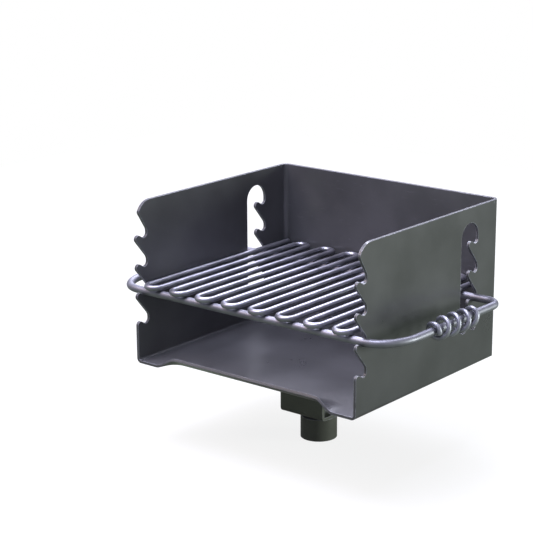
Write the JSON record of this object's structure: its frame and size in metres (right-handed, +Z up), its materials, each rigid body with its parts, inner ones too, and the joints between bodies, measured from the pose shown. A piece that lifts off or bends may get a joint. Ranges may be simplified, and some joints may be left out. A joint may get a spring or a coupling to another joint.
{
  "type": "park charcoal grill",
  "caption": "Steel firebox grill that turns on a pipe post, with a lipped floor, toothed side notches and a serpentine rod grate on a loop frame with coil spring handles.",
  "frame": {"origin": "centre of the post stub's lower end, on the pivot axis", "axes": "+Z up along the post and the pivot axis; the firebox's open front faces -Y and its back +Y; +X is to the right seen from the front"},
  "size_m": [0.5824, 0.3821, 0.398],
  "materials": {
    "firebox_paint": "satin",
    "post_paint": "satin",
    "weld_paint": "satin",
    "grate_steel": "gloss",
    "spring_steel": "gloss",
    "hardware": "satin"
  },
  "bodies": {
    "post": {"post_tube": "post_paint", "post_cap": "post_paint", "cap_weld": "weld_paint", "thrust_washer": "hardware", "pivot_bolt": "hardware", "top_washer": "hardware", "lock_nut": "hardware"},
    "firebox": {"mounting_channel": "firebox_paint", "channel_welds": "weld_paint", "firebox_shell": "firebox_paint", "back_plate": "firebox_paint", "back_weld": "weld_paint"},
    "grate": {"grate_frame": "grate_steel", "grate_bars": "grate_steel", "grate_welds": "weld_paint", "left_spring_grip": "spring_steel", "right_spring_grip": "spring_steel"}
  },
  "joints": [
    {"name": "firebox_swivel", "type": "hinge", "parent": "post", "child": "firebox", "pos_m": [0, 0, 0.046], "axis": [0, 0, 1], "continuous": true},
    {"name": "grate_lift", "type": "slide", "parent": "firebox", "child": "grate", "axis": [0, -0.6157, 0.788], "range_m": [0, 0.048]}
  ]
}
